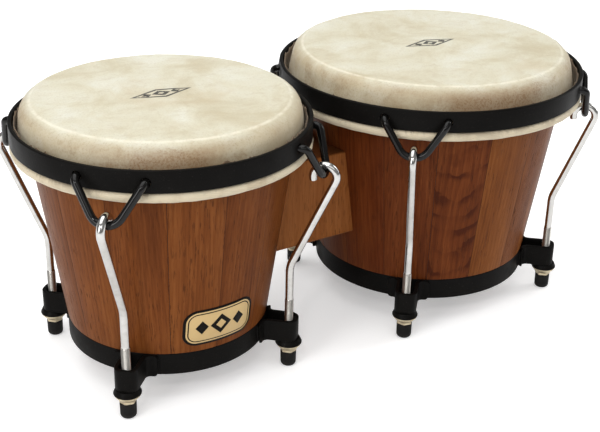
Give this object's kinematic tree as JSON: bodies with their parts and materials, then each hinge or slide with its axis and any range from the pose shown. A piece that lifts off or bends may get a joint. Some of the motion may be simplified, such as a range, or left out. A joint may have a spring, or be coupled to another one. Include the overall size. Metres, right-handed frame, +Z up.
{
  "type": "bongo drums",
  "caption": "Small and large hand drums joined by a wooden block, with stave shells, hide heads, steel rims and hooked tuning rods standing on rubber feet.",
  "frame": {"origin": "centre of the bounding box at the floor under the rubber feet", "axes": "+X from the small drum to the large drum, +Y to the back, +Z up"},
  "size_m": [0.4214, 0.2184, 0.1866],
  "materials": {
    "shell_wood": "satin varnish",
    "block_wood": "satin varnish",
    "black_steel": "satin powder coat",
    "black_bar": "gloss enamel",
    "chrome_rod": "bright plated, threaded foot",
    "zinc_steel": "pale yellow zinc plate",
    "hoop_wire": "plain",
    "black_rubber": "matt",
    "rawhide": "natural, mottled",
    "badge_plate": "enamelled plate with a dark border"
  },
  "bodies": {
    "frame": {"macho_shell": "shell_wood", "macho_bottom_ring": "black_steel", "macho_lug_straps": "black_steel", "macho_cup_washers": "black_steel", "macho_hide": "rawhide", "macho_flesh_hoop": "hoop_wire", "macho_block_screws": "zinc_steel", "macho_screw_washers": "zinc_steel", "hembra_shell": "shell_wood", "hembra_bottom_ring": "black_steel", "hembra_lug_straps": "black_steel", "hembra_cup_washers": "black_steel", "hembra_hide": "rawhide", "hembra_flesh_hoop": "hoop_wire", "hembra_block_screws": "zinc_steel", "hembra_screw_washers": "zinc_steel", "centre_block": "block_wood", "shell_badge": "badge_plate"},
    "macho_rim_set": {"macho_rim": "black_steel", "macho_claw_loops": "black_bar", "macho_rod_front_left": "chrome_rod", "macho_rod_front_right": "chrome_rod", "macho_rod_back_right": "chrome_rod", "macho_rod_back_left": "chrome_rod"},
    "macho_nut_front_left_set": {"macho_nut_front_left": "zinc_steel", "macho_foot_front_left": "black_rubber"},
    "macho_nut_front_right_set": {"macho_nut_front_right": "zinc_steel", "macho_foot_front_right": "black_rubber"},
    "macho_nut_back_right_set": {"macho_nut_back_right": "zinc_steel", "macho_foot_back_right": "black_rubber"},
    "macho_nut_back_left_set": {"macho_nut_back_left": "zinc_steel", "macho_foot_back_left": "black_rubber"},
    "hembra_rim_set": {"hembra_rim": "black_steel", "hembra_claw_loops": "black_bar", "hembra_rod_front_left": "chrome_rod", "hembra_rod_front_right": "chrome_rod", "hembra_rod_back_right": "chrome_rod", "hembra_rod_back_left": "chrome_rod"},
    "hembra_nut_front_left_set": {"hembra_nut_front_left": "zinc_steel", "hembra_foot_front_left": "black_rubber"},
    "hembra_nut_front_right_set": {"hembra_nut_front_right": "zinc_steel", "hembra_foot_front_right": "black_rubber"},
    "hembra_nut_back_right_set": {"hembra_nut_back_right": "zinc_steel", "hembra_foot_back_right": "black_rubber"},
    "hembra_nut_back_left_set": {"hembra_nut_back_left": "zinc_steel", "hembra_foot_back_left": "black_rubber"}
  },
  "joints": [
    {"name": "macho_nut_front_left_turn", "type": "hinge", "parent": "frame", "child": "macho_nut_front_left_set", "pos_m": [-0.17418, -0.05968, 0.0182], "axis": [0, 0, 1], "range_deg": [-1260, 0]},
    {"name": "macho_nut_front_right_turn", "type": "hinge", "parent": "frame", "child": "macho_nut_front_right_set", "pos_m": [-0.05482, -0.05968, 0.0182], "axis": [0, 0, 1], "range_deg": [-1260, 0]},
    {"name": "macho_nut_back_right_turn", "type": "hinge", "parent": "frame", "child": "macho_nut_back_right_set", "pos_m": [-0.05482, 0.05968, 0.0182], "axis": [0, 0, 1], "range_deg": [-1260, 0]},
    {"name": "macho_nut_back_left_turn", "type": "hinge", "parent": "frame", "child": "macho_nut_back_left_set", "pos_m": [-0.17418, 0.05968, 0.0182], "axis": [0, 0, 1], "range_deg": [-1260, 0]},
    {"name": "macho_rim_lift", "type": "slide", "parent": "frame", "child": "macho_rim_set", "axis": [0, 0, 1], "range_m": [0, 0.0035]},
    {"name": "hembra_nut_front_left_turn", "type": "hinge", "parent": "frame", "child": "hembra_nut_front_left_set", "pos_m": [0.03533, -0.0712, 0.0182], "axis": [0, 0, 1], "range_deg": [-1260, 0]},
    {"name": "hembra_nut_front_right_turn", "type": "hinge", "parent": "frame", "child": "hembra_nut_front_right_set", "pos_m": [0.1727, -0.06617, 0.0182], "axis": [0, 0, 1], "range_deg": [-1260, 0]},
    {"name": "hembra_nut_back_right_turn", "type": "hinge", "parent": "frame", "child": "hembra_nut_back_right_set", "pos_m": [0.16767, 0.0712, 0.0182], "axis": [0, 0, 1], "range_deg": [-1260, 0]},
    {"name": "hembra_nut_back_left_turn", "type": "hinge", "parent": "frame", "child": "hembra_nut_back_left_set", "pos_m": [0.0303, 0.06617, 0.0182], "axis": [0, 0, 1], "range_deg": [-1260, 0]},
    {"name": "hembra_rim_lift", "type": "slide", "parent": "frame", "child": "hembra_rim_set", "axis": [0, 0, 1], "range_m": [0, 0.0035]}
  ],
  "couplings": [
    {"joint": "macho_nut_front_left_turn", "follows": "macho_rim_lift", "rad_per_m": -6283.2},
    {"joint": "macho_nut_front_right_turn", "follows": "macho_rim_lift", "rad_per_m": -6283.2},
    {"joint": "macho_nut_back_right_turn", "follows": "macho_rim_lift", "rad_per_m": -6283.2},
    {"joint": "macho_nut_back_left_turn", "follows": "macho_rim_lift", "rad_per_m": -6283.2},
    {"joint": "hembra_nut_front_left_turn", "follows": "hembra_rim_lift", "rad_per_m": -6283.2},
    {"joint": "hembra_nut_front_right_turn", "follows": "hembra_rim_lift", "rad_per_m": -6283.2},
    {"joint": "hembra_nut_back_right_turn", "follows": "hembra_rim_lift", "rad_per_m": -6283.2},
    {"joint": "hembra_nut_back_left_turn", "follows": "hembra_rim_lift", "rad_per_m": -6283.2}
  ]
}
